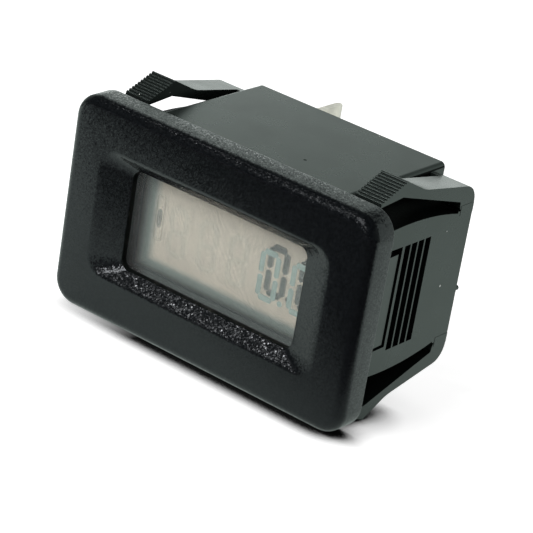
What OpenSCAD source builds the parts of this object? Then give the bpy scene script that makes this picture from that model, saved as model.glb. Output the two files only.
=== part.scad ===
// Snap-in hour meter with a liquid crystal display, for a rectangular panel cut-out.
// X runs to the right as seen from the front, Y towards the back and Z up.
// The origin is the centre of the bezel's rear face, the plane that seats on the panel.

/* [Bezel] */
// Width of the bezel
bezel_w = 42.6; // [40:0.1:48]
// Height of the bezel
bezel_h = 26; // [25:0.1:32]
// Depth of the bezel, from the panel seat to its front face
bezel_t = 3.9; // [3.6:0.1:5]
// Radius of the bezel's corners, seen from the front
bezel_corner_r = 3; // [2.6:0.1:4]
// Radius of the rounded edge round the front face
bezel_edge_r = 1.2; // [0.6:0.1:1.3]
// Width of the window recess at the front face
recess_w = 32.7; // [30:0.1:36]
// Height of the window recess at the front face
recess_h = 15; // [14:0.1:18]
// Corner radius of the recess at the front face
recess_r = 2.2; // [1.6:0.1:3]
// Depth of the recess's sloping sides
recess_depth = 1.35; // [1:0.05:1.7]
// Width of the opening at the foot of the slopes
opening_w = 25; // [23:0.1:27]
// Height of the opening at the foot of the slopes
opening_h = 12.2; // [11:0.1:13.4]
// Corner radius of the opening
opening_r = 1.2; // [0.6:0.1:2]
// Depth of the lens seat below the front face
lens_seat = 2.1; // [1.9:0.1:2.4]
// Height of the snap tab at each end
tab_h = 11; // [8:0.1:11.4]
// Thickness of the snap tab's arm
tab_t = 1.25; // [1:0.05:1.35]
// Depth of the tab's hook along the housing
hook_d = 2.5; // [1.6:0.1:2.7]
// How much the hook's outer face falls back towards its rear edge
hook_fall = 0.1; // [0.05:0.05:0.6]

/* [Housing] */
// Width of the housing over its end faces
body_w = 36.5; // [36:0.1:40]
// Height of the housing's middle block
body_h = 23.6; // [23:0.1:25.2]
// Depth of the housing behind the panel seat
body_d = 19.9; // [18.5:0.1:26]
// Width of the tall middle block
block_w = 27.3; // [26:0.1:27.8]
// Radius of the middle block's long edges
block_edge_r = 0.6; // [0.3:0.05:1]
// Wall thickness
wall = 1.3; // [1.1:0.05:1.5]
// How far the crown of the end blocks lies below the middle block's top
crown_drop = 2.8; // [2.6:0.05:3]
// Distance of that crown from the panel seat
crown_y = 7.7; // [6:0.1:9]
// Radius of the end blocks' arched tops
crown_r = 43; // [40:1:80]
// Wall at the grooved part of the end faces
groove_wall = 2.75; // [2.4:0.05:3]
// Number of grooves in each end face
groove_count = 4; // [2:1:5]
// Distance of the first groove from the panel seat
groove_y = 7.35; // [7.2:0.05:8]
// Distance from one groove to the next
groove_pitch = 1.3; // [1.1:0.05:1.5]
// Width of one groove
groove_w = 1.05; // [0.8:0.05:1.05]
// Length of the grooves
groove_h = 12.7; // [8:0.1:13]
// Depth of the grooves
groove_d = 2; // [0.8:0.1:2]
// Distance of the tab window's front edge from the panel seat
window_y = 4; // [3.6:0.05:4.2]
// Height of the tab window
window_h = 12.2; // [11.8:0.1:12.8]

/* [Snap legs] */
// Width of each leg
leg_w = 3.5; // [3:0.05:3.7]
// Distance of the leg's tip from the panel seat
leg_tip_y = 1.05; // [0.9:0.05:1.6]
// Height of the tip above the middle block's top
leg_tip_rise = 0.8; // [0.6:0.05:1]
// Distance of the leg's peak from the panel seat
leg_peak_y = 5.6; // [5:0.1:6.4]
// Height of the peak above the middle block's top
leg_peak_rise = 2.55; // [2:0.05:2.8]
// Thickness of the head under the peak
leg_head_t = 1.7; // [1.4:0.05:1.8]
// Distance from the panel seat to the neck behind the head
leg_neck_y = 9.3; // [8.4:0.1:10]
// Height of the neck above the middle block's top
leg_neck_rise = 0.8; // [0.6:0.05:0.9]
// Radius of the curve at the neck
leg_neck_r = 6; // [3:0.5:8]
// Thickness of the arm at its root
leg_root_t = 1.9; // [1.6:0.05:2]
// How far the heel's corner lies below the middle block's top
heel_drop = 1.05; // [0.9:0.05:1.3]
// Radius of the heel's corner
heel_r = 2.3; // [0.8:0.1:2.4]
// Radius of the leg's flexing root
knuckle_r = 1.35; // [1.2:0.05:1.4]
// Running clearance round the root
hinge_clear = 0.04; // [0.03:0.01:0.08]
// Number of ridges on the ramp
ridge_count = 10; // [6:1:11]
// Height of the ridges
ridge_rise = 0.2; // [0.1:0.02:0.22]

/* [Display] */
// Width of the lens and of the front glass
lens_w = 29; // [28:0.1:30]
// Height of the lens and of the front glass
lens_h = 18; // [17.9:0.1:19]
// Thickness of the lens
lens_t = 1; // [0.8:0.05:1]
// Thickness of each glass plate of the display
glass_t = 0.7; // [0.4:0.05:0.7]
// Width of the rear glass
rear_glass_w = 28; // [27:0.1:28.2]
// Height of the rear glass
rear_glass_h = 14; // [13.4:0.1:14.2]
// Distance from the rear glass's ends to the reflector film
film_margin_w = 0.5; // [0.4:0.05:1]
// Distance from the rear glass's long edges to the reflector film
film_margin_h = 0.3; // [0.2:0.05:0.6]
// Thickness of the reflector film
film_t = 0.2; // [0.1:0.05:0.3]
// Length of the rubber contact strips
strip_w = 20; // [16:0.5:21]
// Height of the rubber contact strips
strip_h = 1.2; // [1:0.05:1.3]

/* [Board] */
// Thickness of the display carrier's floor
carrier_t = 1.4; // [1:0.1:1.8]
// Distance from the carrier's floor to the board
board_stand = 2.6; // [2.4:0.1:3.4]
// Thickness of the circuit board
board_t = 1.2; // [0.8:0.1:1.6]
// Diameter of the carrier's pegs through the board
peg_d = 1; // [0.8:0.05:1.1]
// Side of the square posts that back the board's corners
post_w = 1.4; // [1:0.05:1.5]
// Length of the timer chip's body
timer_l = 7.6; // [7:0.1:8.4]
// Width of the timer chip's body
timer_w = 5.3; // [4.4:0.1:5.8]
// Height of the timer chip's body
timer_t = 1.7; // [1.2:0.1:2]
// Number of leads on each side of the timer chip
timer_pins = 8; // [4:1:8]
// Distance from one lead of the timer chip to the next
timer_pitch = 0.9; // [0.65:0.05:0.95]
// Length of the memory chip's body
memory_l = 4.9; // [4.6:0.1:5.4]
// Width of the memory chip's body
memory_w = 3.9; // [3.5:0.1:4.3]
// Height of the memory chip's body
memory_t = 1.5; // [1.2:0.1:1.8]
// Number of leads on each side of the memory chip
memory_pins = 4; // [2:1:4]
// Distance from one lead of the memory chip to the next
memory_pitch = 1.27; // [1:0.01:1.3]

/* [Terminals] */
// Width of the blade terminals
blade_w = 6.3; // [4.8:0.1:6.4]
// Thickness of the blade terminals
blade_t = 0.8; // [0.5:0.1:0.8]
// Length of the blades behind the rear wall
blade_l = 8.1; // [6.5:0.1:9]
// Distance of each blade from the middle, along X
blade_x = 7; // [6:0.1:7.2]
// Distance of each blade's centre from the middle, along Z
blade_z = 7.05; // [6.8:0.05:7.25]
// Diameter of the detent hole in the blades
blade_hole_d = 1.8; // [1.4:0.1:2]
// Length of the bevels that thin the blades towards their tips
blade_bevel_l = 0.9; // [0.4:0.05:1.2]
// Thickness of the blades at their tips
blade_tip_t = 0.3; // [0.2:0.05:0.5]

/* [Hidden] */
$fn = 64;

// Clearance between pieces that slide past or into each other
slip = 0.1;
// Overlap that lets a cut run past a face
over = 1;

// Half sizes of the housing
body_x = body_w / 2;
body_z = body_h / 2;
block_x = block_w / 2;
inner_x = block_x - wall;
inner_z = body_z - wall;
back_y = body_d - wall;

// Planes along the depth, from the front to the back
front_y = -bezel_t;
lens_y = front_y + lens_seat;
glass_y = lens_y + lens_t;
rear_glass_y = glass_y + glass_t;
film_y = rear_glass_y + glass_t;
carrier_y = film_y + film_t;
rail_y = carrier_y + carrier_t;
board_y = carrier_y + board_stand;
board_back_y = board_y + board_t;

// End blocks: crown of their arched tops, and the stepped hollow behind their faces
crown_z = body_z - crown_drop;
end_roof_t = 1.5;
end_rear_roof_t = 2.4;
end_hollow_x = body_x - wall;
end_hollow_z = crown_z - end_roof_t;
end_rear_z = crown_z - end_rear_roof_t;
end_window_d = 2.9;
window_end_y = window_y + end_window_d;
window_lift = 0.3;
hook_y = window_y + slip / 2;
tab_out_x = end_hollow_x - slip;
tab_in_x = tab_out_x - tab_t;
hook_reach = wall + slip / 2;

// Snap legs, upper right one: heights above the centre plane and places along the depth
leg_x = body_x - leg_w;
tip_z = body_z + leg_tip_rise;
tip_t = 0.3;
peak_z = body_z + leg_peak_rise;
neck_z = body_z + leg_neck_rise;
heel_z = body_z - heel_drop;
knuckle_inset = 0.1;
knuckle_drop = 2.65;
knuckle_y = body_d - knuckle_r - knuckle_inset;
knuckle_z = body_z - knuckle_drop;
post_y = knuckle_y - knuckle_r;
shoulder_drop = 0.95;
shoulder_z = knuckle_z - shoulder_drop;
seam = 0.05;
arm_fall = (neck_z - heel_z) / (body_d - leg_neck_y);
root_outer_z = neck_z - arm_fall * (post_y - leg_neck_y);
root_under_z = root_outer_z - leg_root_t;
knee_lead = 0.5;
knee_y = leg_peak_y - knee_lead;
knee_z = peak_z - leg_head_t;
gap_end_r = 0.7;

// Reflector film, inside the rear glass's outline
film_w = rear_glass_w - 2 * film_margin_w;
film_h = rear_glass_h - 2 * film_margin_h;

// Display carrier
carrier_clear = 0.25;
carrier_x = inner_x - carrier_clear;
carrier_z = inner_z - carrier_clear;
wing_x = tab_in_x - carrier_clear;
wing_z = end_hollow_z - carrier_clear;
strip_margin = 0.5;
strip_z = rear_glass_h / 2 + strip_margin;
strip_slot = 0.15;
rail_z = strip_z + strip_h + 2 * strip_slot;
peg_x = 8.5;
peg_z = (rail_z + carrier_z) / 2;
peg_head_rim = 0.25;
peg_head_d = peg_d + 2 * peg_head_rim;
peg_head_t = 0.5;

// Circuit board and blade feet
board_x = inner_x - slip;
board_z = inner_z - slip;
foot_w = 2.8;
foot_inset = 2.45;
foot_z = blade_z - foot_inset;
neck_w = 2;
neck_reach = 0.5;
neck_end_y = board_y - neck_reach;
blade_shoulder_t = 1.2;
blade_shoulder_drop = 1.6;
blade_chamfer = 0.3;
blade_hole_inset = 3.4;

// Places of the components on the board, in X and Z
timer_place = [-1.2, 0.3];
memory_place = [-8.2, -5.6];
crystal_place = [-9.5, 0.7];
capacitor_place = [1.5, -6.3];
varistor_place = [-1.5, 7];
diode_place = [7.4, 8];
resistor_place = [10, -5.8];
// Height of lying bodies over the board
lying_gap = 0.2;

// Extrusions: a profile in Y and Z along X, one in X and Z along Y
module along_x(x0, x1) {
  translate([x0, 0, 0])
    rotate([90, 0, 90])
      linear_extrude(x1 - x0)
        children();
}

module along_y(y0, y1) {
  translate([0, y1, 0])
    rotate([90, 0, 0])
      linear_extrude(y1 - y0)
        children();
}

// Puts a component on the board's rear face
module on_board(place) {
  translate([place.x, board_back_y, place.y])
    children();
}

// Block between two depths, centred on the Y axis
module slab(w, h, y0, y1) {
  translate([-w / 2, y0, -h / 2])
    cube([w, y1 - y0, h]);
}

module rounded_rect(w, h, r) {
  square([w - 2 * r, h], center = true);
  square([w, h - 2 * r], center = true);
  for (sx = [-1, 1], sz = [-1, 1])
    translate([sx * (w / 2 - r), sz * (h / 2 - r)])
      circle(r);
}

// Places a piece at both ends, the left one as the mirror image of the right one
module at_both_ends() {
  children();
  mirror([1, 0, 0])
    children();
}

module at_four_corners() {
  at_both_ends() {
    children();
    mirror([0, 0, 1])
      children();
  }
}

// Area between a corner p and the arc of radius r that touches the lines to a and b.
// Where it cuts, it runs out past the corner by a spare length.
module corner_area(p, a, b, r, spare = 0) {
  da = (a - p) / norm(a - p);
  db = (b - p) / norm(b - p);
  half = acos(da * db) / 2;
  reach = r / tan(half);
  middle = (da + db) / norm(da + db);
  difference() {
    polygon([p - spare * middle, p + reach * da, p + reach * db]);
    translate(p + r / sin(half) * middle)
      circle(r);
  }
}

// Bezel

// Profile of a plate with rounded front edges, its back on the X axis and its front at t
module front_rounded(span, t, r) {
  translate([-span / 2, 0])
    square([span, t - r]);
  translate([r - span / 2, 0])
    square([span - 2 * r, t]);
  for (s = [-1, 1])
    translate([s * (span / 2 - r), t - r])
      circle(r);
}

module bezel_plate() {
  side_x = bezel_w / 2 - bezel_corner_r;
  side_z = bezel_h / 2 - bezel_corner_r;
  along_x(-side_x, side_x)
    rotate(90)
      front_rounded(bezel_h, bezel_t, bezel_edge_r);
  translate([0, 0, -side_z])
    linear_extrude(2 * side_z)
      mirror([0, 1])
        front_rounded(bezel_w, bezel_t, bezel_edge_r);
  for (sx = [-1, 1], sz = [-1, 1])
    translate([sx * side_x, 0, sz * side_z])
      rotate([90, 0, 0])
        rotate_extrude()
          intersection() {
            front_rounded(2 * bezel_corner_r, bezel_t, bezel_edge_r);
            square([bezel_corner_r, bezel_t]);
          }
}

// Sloping window recess, from the front face down to the opening
module bezel_recess() {
  thin = 0.01;
  hull() {
    along_y(front_y - thin, front_y)
      rounded_rect(recess_w, recess_h, recess_r, $fn = 48);
    along_y(front_y + recess_depth - thin, front_y + recess_depth)
      rounded_rect(opening_w, opening_h, opening_r, $fn = 48);
  }
}

// Snap tab at the right end, with a hook that fills the housing's window
module bezel_tab() {
  hook_end_y = hook_y + hook_d;
  translate([0, 0, -tab_h / 2])
    linear_extrude(tab_h)
      polygon([
        [tab_in_x, -over],
        [tab_out_x, -over],
        [tab_out_x, hook_y],
        [tab_out_x + hook_reach, hook_y],
        [tab_out_x + hook_reach - hook_fall, hook_end_y],
        [tab_in_x, hook_end_y]
      ]);
}

module front_bezel() {
  color([0.07, 0.07, 0.08])
    difference() {
      union() {
        bezel_plate();
        at_both_ends()
          bezel_tab();
      }
      bezel_recess();
      along_y(front_y, lens_y + over)
        rounded_rect(opening_w, opening_h, opening_r);
      slab(lens_w + 2 * slip, lens_h + 2 * slip, lens_y, over);
    }
}

// Display

module window_lens() {
  color([0.85, 0.9, 0.9, 0.3])
    slab(lens_w, lens_h, lens_y, glass_y);
}

module lcd_front_glass() {
  color([0.8, 0.86, 0.82, 0.4])
    slab(lens_w, lens_h, glass_y, rear_glass_y);
}

module lcd_rear_glass() {
  color([0.78, 0.84, 0.8, 0.4])
    slab(rear_glass_w, rear_glass_h, rear_glass_y, film_y);
}

module lcd_reflector() {
  color([0.84, 0.8, 0.75])
    slab(film_w, film_h, film_y, carrier_y);
}

// Upper rubber strip, pressed between the front glass's ledge and the board
module contact_strip() {
  color([0.2, 0.2, 0.22])
    translate([-strip_w / 2, rear_glass_y, strip_z + strip_slot])
      cube([strip_w, board_y - rear_glass_y, strip_h]);
}

module zebra_strip_upper() {
  contact_strip();
}

module zebra_strip_lower() {
  mirror([0, 0, 1])
    contact_strip();
}

module carrier_peg() {
  translate([peg_x, board_back_y + peg_head_t, peg_z])
    rotate([90, 0, 0]) {
      cylinder(d = peg_head_d, h = peg_head_t);
      cylinder(d = peg_d, h = board_back_y + peg_head_t - rail_y);
    }
}

module display_carrier() {
  rail_h = carrier_z - rail_z;
  color([0.16, 0.16, 0.17]) {
    difference() {
      union() {
        slab(2 * carrier_x, 2 * carrier_z, carrier_y, rail_y);
        slab(2 * wing_x, 2 * wing_z, carrier_y, rail_y);
        at_both_ends()
          translate([rear_glass_w / 2 + slip, slip, -wing_z])
            cube([wing_x - rear_glass_w / 2 - slip, carrier_y, 2 * wing_z]);
        for (s = [-1, 1])
          translate([-carrier_x, rail_y, s * (rail_z + rail_h / 2) - rail_h / 2])
            cube([2 * carrier_x, board_y - rail_y, rail_h]);
      }
      for (s = [-1, 1])
        translate([0, 0, s * (strip_z + strip_slot + strip_h / 2)])
          slab(strip_w + 2 * strip_slot, strip_h + 2 * strip_slot, carrier_y - over, rail_y + over);
    }
    at_four_corners()
      carrier_peg();
  }
}

// Circuit board and what it carries, all on its rear face

module circuit_board() {
  color([0.1, 0.35, 0.2])
    difference() {
      slab(2 * board_x, 2 * board_z, board_y, board_back_y);
      at_four_corners()
        translate([peg_x, board_y - over, peg_z])
          rotate([-90, 0, 0])
            cylinder(d = peg_d + slip, h = board_t + 2 * over);
      for (s = [-1, 1])
        translate([-s * blade_x, 0, s * foot_z])
          slab(blade_t + slip, neck_w + slip, board_y - over, board_back_y + over);
    }
}

// Chip with gull-wing leads along its upper and lower sides
module chip(length, width, height, pins, pitch) {
  lead_t = 0.15;
  lead_w = 0.4 * pitch;
  lead_reach = 1;
  lead_foot = 0.6;
  translate([0, lead_t, 0])
    slab(length, width, 0, height);
  for (i = [0:pins - 1], s = [-1, 1])
    translate([(i - (pins - 1) / 2) * pitch - lead_w / 2, 0, 0])
      mirror([0, 0, s > 0 ? 0 : 1])
        along_x(0, lead_w)
          polygon([
            [0, width / 2 + lead_reach],
            [0, width / 2 + lead_reach - lead_foot],
            [height / 2, width / 2 + lead_reach - lead_foot],
            [height / 2, width / 2 - lead_t],
            [height / 2 + lead_t, width / 2 - lead_t],
            [height / 2 + lead_t, width / 2 + lead_reach - lead_foot + lead_t],
            [lead_t, width / 2 + lead_reach - lead_foot + lead_t],
            [lead_t, width / 2 + lead_reach]
          ]);
}

module timer_chip() {
  color([0.12, 0.12, 0.13])
    on_board(timer_place)
      chip(timer_l, timer_w, timer_t, timer_pins, timer_pitch);
}

module memory_chip() {
  color([0.14, 0.14, 0.15])
    on_board(memory_place)
      chip(memory_l, memory_w, memory_t, memory_pins, memory_pitch);
}

// Wire from the end of a body that lies along X, bent down to the board
module bent_lead(d, reach, drop) {
  rotate([0, 90, 0])
    cylinder(d = d, h = reach);
  translate([reach, 0, 0]) {
    sphere(d = d);
    rotate([90, 0, 0])
      cylinder(d = d, h = drop);
  }
}

// Round body along X at a height over the board, with a bent lead at each end
module axial_piece(body_l, height, lead_d, reach) {
  translate([0, height, 0]) {
    rotate([0, 90, 0])
      children();
    at_both_ends()
      translate([body_l / 2 - lead_d, 0, 0])
        bent_lead(lead_d, reach + lead_d, height);
  }
}

module quartz_crystal() {
  can_l = 6.2;
  can_d = 2.1;
  lead_d = 0.3;
  lead_gap = 0.35;
  color([0.75, 0.76, 0.78])
    on_board(crystal_place)
      translate([0, can_d / 2, 0]) {
        translate([0, 0, -can_l / 2])
          cylinder(d = can_d, h = can_l);
        for (s = [-1, 1])
          translate([s * lead_gap, 0, can_l / 2 - lead_d])
            rotate([0, -90, 0])
              bent_lead(lead_d, 2 * lead_d + lead_gap, can_d / 2);
      }
}

module smoothing_capacitor() {
  can_d = 5;
  can_l = 7;
  crimp_y = 1.6;
  crimp_r = 0.35;
  vent_l = 3.5;
  vent_w = 0.3;
  vent_d = 0.15;
  color([0.15, 0.17, 0.3])
    on_board(capacitor_place)
      difference() {
        rotate([-90, 0, 0])
          rotate_extrude()
            difference() {
              square([can_d / 2, can_l]);
              translate([can_d / 2, crimp_y])
                circle(crimp_r);
            }
        for (a = [0, 90])
          rotate([0, a, 0])
            slab(vent_l, vent_w, can_l - vent_d, can_l + over);
      }
}

module surge_varistor() {
  disc_d = 7;
  disc_t = 3;
  lead_d = 0.6;
  lead_gap = 2.5;
  stand = 0.8;
  color([0.2, 0.35, 0.6])
    on_board(varistor_place)
      translate([0, stand + disc_d / 2, 0]) {
        translate([0, 0, -disc_t / 2])
          cylinder(d = disc_d, h = disc_t);
        for (s = [-1, 1])
          translate([s * lead_gap, 0, 0])
            rotate([90, 0, 0])
              cylinder(d = lead_d, h = stand + disc_d / 2);
      }
}

module rectifier_diodes() {
  diode_l = 4.6;
  diode_d = 2.4;
  diode_pitch = 3;
  diode_count = 4;
  color([0.1, 0.1, 0.1])
    for (i = [0:diode_count - 1])
      on_board(diode_place - [0, i * diode_pitch])
        axial_piece(diode_l, diode_d / 2 + lying_gap, lead_d = 0.6, reach = 0.7)
          cylinder(d = diode_d, h = diode_l, center = true);
}

module dropper_resistor() {
  resistor_l = 5.6;
  waist_d = 1.9;
  cap_d = 2.3;
  cap_l = 1.5;
  color([0.75, 0.68, 0.5])
    on_board(resistor_place)
      rotate([0, 90, 0])
        axial_piece(resistor_l, cap_d / 2 + lying_gap, lead_d = 0.5, reach = 0.4) {
          union() {
            cylinder(d = waist_d, h = resistor_l, center = true);
            for (s = [-1, 1])
              translate([0, 0, s * (resistor_l - cap_l) / 2])
                cylinder(d = cap_d, h = cap_l, center = true);
          }
        }
}

// Blade terminals

// Upper left blade: bevelled tip, shoulder inside the rear wall, narrow foot through the board
module blade() {
  tip_y = body_d + blade_l;
  top_z = blade_z + blade_w / 2;
  low_z = blade_z - blade_w / 2;
  shoulder_y = back_y - blade_shoulder_t;
  color([0.8, 0.74, 0.64])
    translate([-blade_x, 0, 0])
      difference() {
        along_x(-blade_t / 2, blade_t / 2)
          polygon([
            [tip_y, low_z + blade_chamfer],
            [tip_y, top_z - blade_chamfer],
            [tip_y - blade_chamfer, top_z],
            [shoulder_y, top_z],
            [shoulder_y, foot_z + foot_w / 2],
            [board_back_y, foot_z + foot_w / 2],
            [board_back_y, foot_z + neck_w / 2],
            [neck_end_y, foot_z + neck_w / 2],
            [neck_end_y, foot_z - neck_w / 2],
            [board_back_y, foot_z - neck_w / 2],
            [board_back_y, foot_z - foot_w / 2],
            [shoulder_y, foot_z - foot_w / 2],
            [shoulder_y, low_z - blade_shoulder_drop],
            [back_y, low_z - blade_shoulder_drop],
            [back_y, low_z],
            [tip_y - blade_chamfer, low_z]
          ]);
        translate([-over, tip_y - blade_hole_inset, blade_z])
          rotate([0, 90, 0])
            cylinder(d = blade_hole_d, h = 2 * over);
        at_both_ends()
          translate([0, 0, blade_z - blade_w])
            linear_extrude(2 * blade_w)
              polygon([
                [blade_t / 2, tip_y - blade_bevel_l],
                [blade_tip_t / 2, tip_y],
                [blade_tip_t / 2, tip_y + over],
                [blade_t / 2 + over, tip_y + over],
                [blade_t / 2 + over, tip_y - blade_bevel_l]
              ]);
      }
}

module terminal_left() {
  blade();
}

module terminal_right() {
  rotate([0, 180, 0])
    blade();
}

// Housing

// Side profile of an end block, in Y and Z: two arched edges and a level shoulder at the rear
module end_profile() {
  intersection() {
    translate([0, -crown_z])
      square([body_d, 2 * crown_z]);
    intersection_for(s = [-1, 1])
      translate([crown_y, s * (crown_z - crown_r)])
        circle(crown_r, $fn = 200);
  }
  translate([post_y - slip, -shoulder_z])
    square([body_d - post_y + slip, 2 * shoulder_z]);
}

// Part of the rear corner beside a leg's root, shaped like the root
module root_cheek_profile() {
  heel = [body_d, heel_z];
  front_z = neck_z - arm_fall * (post_y - leg_neck_y);
  difference() {
    polygon([[post_y, 0], [body_d, 0], heel, [post_y, front_z]]);
    corner_area(heel, [body_d, 0], [post_y, front_z], heel_r, over);
  }
}

module housing_shell() {
  along_y(0, body_d)
    rounded_rect(block_w, body_h, block_edge_r);
  along_x(-body_x, body_x)
    end_profile();
  at_four_corners()
    along_x(inner_x, leg_x - seam)
      root_cheek_profile();
}

module housing_hollow() {
  slab(2 * inner_x, 2 * inner_z, -over, back_y);
  slab(2 * end_hollow_x, 2 * end_hollow_z, -over, window_end_y);
  slab(2 * (body_x - groove_wall), 2 * end_rear_z, -over, back_y);
}

module end_face_cuts() {
  translate([end_hollow_x - over, window_y, window_lift - window_h / 2])
    cube([wall + 2 * over, end_window_d, window_h]);
  for (i = [0:groove_count - 1])
    translate([body_x - groove_d, groove_y + i * groove_pitch, -groove_h / 2])
      cube([groove_d + over, groove_w, groove_h]);
}

module leg_socket() {
  along_x(leg_x - seam, body_x + over)
    translate([knuckle_y, knuckle_z])
      circle(knuckle_r + hinge_clear);
}

module blade_slot() {
  translate([-blade_x, 0, blade_z])
    slab(blade_t + slip, blade_w + slip, back_y - over, body_d + over);
}

// Post that backs a corner of the board
module board_post() {
  translate([inner_x - post_w, board_back_y, inner_z - post_w])
    cube([post_w + wall / 2, body_d - wall / 2 - board_back_y, post_w + wall / 2]);
}

module housing() {
  stub_d = 0.6;
  stub_h = 0.7;
  stub_inset = 0.4;
  stub_z = -2.2;
  color([0.1, 0.11, 0.11]) {
    difference() {
      housing_shell();
      housing_hollow();
      at_both_ends()
        end_face_cuts();
      at_four_corners()
        leg_socket();
      blade_slot();
      rotate([0, 180, 0])
        blade_slot();
    }
    at_four_corners()
      board_post();
    translate([body_x - stub_inset, body_d + stub_h, stub_z])
      rotate([90, 0, 0])
        cylinder(d = stub_d, h = stub_h + wall / 2);
  }
}

// Snap legs

// Bar across the width of the upper right leg, with a profile in Y and Z
module leg_bar() {
  along_x(leg_x, body_x)
    children();
}

// Upper right leg: ridged ramp, head, arm, heel and round root
module snap_leg() {
  tip = [leg_tip_y, tip_z];
  peak = [leg_peak_y, peak_z];
  neck = [leg_neck_y, neck_z];
  heel = [body_d, heel_z];
  heel_foot = [body_d, shoulder_z + seam];
  root_under = [post_y, root_under_z];
  knee = [knee_y, knee_z];
  root_front = [post_y, knuckle_z];
  ridge_step = (peak - tip) / ridge_count;
  color([0.1, 0.11, 0.11])
    difference() {
      union() {
        leg_bar()
          polygon([
            tip, peak, neck, heel, heel_foot,
            [knuckle_y, shoulder_z + seam], [knuckle_y, knuckle_z],
            root_front, root_under, knee, [leg_tip_y, tip_z - tip_t]
          ]);
        leg_bar()
          corner_area(neck, peak, heel, leg_neck_r);
        leg_bar()
          corner_area(root_under, knee, root_front, min(gap_end_r, root_under_z - knuckle_z));
        leg_bar()
          translate([knuckle_y, knuckle_z])
            circle(knuckle_r);
        for (i = [0:ridge_count - 1])
          leg_bar()
            translate(tip + (i + 0.5) * ridge_step)
              circle(ridge_rise);
      }
      along_x(leg_x - over, body_x + over)
        corner_area(heel, heel_foot, neck, heel_r, over);
    }
}

module snap_leg_upper_left() {
  mirror([1, 0, 0])
    snap_leg();
}

module snap_leg_upper_right() {
  snap_leg();
}

module snap_leg_lower_left() {
  mirror([1, 0, 0])
    mirror([0, 0, 1])
      snap_leg();
}

module snap_leg_lower_right() {
  mirror([0, 0, 1])
    snap_leg();
}

front_bezel();
window_lens();
lcd_front_glass();
lcd_rear_glass();
lcd_reflector();
zebra_strip_upper();
zebra_strip_lower();
display_carrier();
circuit_board();
timer_chip();
memory_chip();
quartz_crystal();
smoothing_capacitor();
surge_varistor();
rectifier_diodes();
dropper_resistor();
terminal_left();
terminal_right();
housing();
snap_leg_upper_left();
snap_leg_upper_right();
snap_leg_lower_left();
snap_leg_lower_right();
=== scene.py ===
"""Looks of a snap-in hour meter: moulded bezel, housing, sprung legs, display, terminals and stage."""

import math

import bmesh
import bpy
from bpy.props import FloatProperty, FloatVectorProperty, IntProperty, PointerProperty
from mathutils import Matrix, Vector


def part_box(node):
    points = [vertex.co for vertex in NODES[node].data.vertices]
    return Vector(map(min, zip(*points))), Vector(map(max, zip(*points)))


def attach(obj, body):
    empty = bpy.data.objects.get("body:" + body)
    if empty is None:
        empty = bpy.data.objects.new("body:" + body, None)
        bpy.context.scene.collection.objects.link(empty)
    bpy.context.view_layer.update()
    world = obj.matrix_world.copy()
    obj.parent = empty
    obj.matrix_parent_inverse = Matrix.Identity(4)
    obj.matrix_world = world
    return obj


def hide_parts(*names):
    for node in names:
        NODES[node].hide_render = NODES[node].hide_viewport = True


bl_info = {
    "name": "Hour Meter Looks",
    "version": (1, 0, 0),
    "blender": (4, 5, 0),
    "location": "View3D > Sidebar > Hour Meter",
    "description": "Models and finishes the visible pieces of a snap-in hour meter round its packed frame",
    "category": "Object",
}

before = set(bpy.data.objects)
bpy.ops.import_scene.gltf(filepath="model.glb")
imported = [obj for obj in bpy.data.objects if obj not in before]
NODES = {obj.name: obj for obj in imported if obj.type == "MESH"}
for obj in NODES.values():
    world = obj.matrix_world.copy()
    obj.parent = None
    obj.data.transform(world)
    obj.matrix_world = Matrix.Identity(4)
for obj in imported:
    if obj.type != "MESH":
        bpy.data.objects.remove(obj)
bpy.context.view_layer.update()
MM = 0.001

BEZEL_LOW, BEZEL_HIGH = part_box("front_bezel")
LENS_LOW, LENS_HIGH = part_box("window_lens")
HOUSING_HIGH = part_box("housing")[1]
FILM_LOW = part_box("lcd_reflector")[0]
REAR_GLASS_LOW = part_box("lcd_rear_glass")[0]
LOWER_LEG_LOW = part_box("snap_leg_lower_right")[0]

# Rings of a moulding are bridged this far apart, then moved to their depths
RING_SPACING = 10 * MM
# Points of a copied mesh that are nearer than this become one
WELD = 0.001 * MM
# Faces that meet at less than this angle are shaded as one surface
SMOOTH_ANGLE = math.radians(30)
# A face whose normal has this share along an axis faces that way
FACING = 0.9
# A point this near to a plane lies on it
ON_PLANE = 0.1 * MM
# Range of the normal's Z where the bezel's upper front edge is rubbed dull
RUBBED_EDGE = (0.2, 0.93)

# Range that holds nearly all of a noise pattern
NOISE_RANGE = (0.3, 0.7)
# Grains of the bezel to the metre, and the range of its noise over which the tone changes
GRAIN_SCALE = 6800.0
GRAIN_TONES = (0.35, 0.75)
# How far grains lean to each side, on an upright face and on one that faces up
GRAIN_LEAN = 0.12
UPPER_LEAN = 0.17
# Normal's Z from which a face counts as facing up
FACES_UP = 0.7
# There some grains rise: how far, their share, that share's soft edge, and their roughness to the others'
GRAIN_RISE = 0.5
RISING_SHARE = 0.28
SHARE_EDGE = 0.02
RISING_ROUGHNESS = 0.5

# Dust specks of the housing to the metre, and the distance from a speck's middle over which it fades
DUST_SCALE = 330.0
DUST_FADE = (0.018, 0.026)
# Places and radii of a white speck on the right end face and of a dull one on the top
DUST_SPECK = ((18.25 * MM, 16.25 * MM, -0.75 * MM), 0.16 * MM)
DULL_SPECK = ((4.5 * MM, 5.6 * MM, 11.8 * MM), 0.22 * MM)
# Share of a speck's radius from which it fades
SPECK_FADE = 0.7

# Widths of the painted grey-green shade that the bezel's opening casts along the film's left and lower sides,
# and how softly its two sides run into each other
LEFT_SHADE = 3.1 * MM
LOWER_SHADE = 2.1 * MM
SHADE_BLEND = 0.2
# From the film's edge inwards: where the dark rim ends, then places and strengths of the painted grey-green
# shade
RIM_END = 0.07
SHADE_TONES = ((0.13, 0.3), (0.24, 0.45), (0.39, 0.8), (0.6, 1.0))
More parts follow.
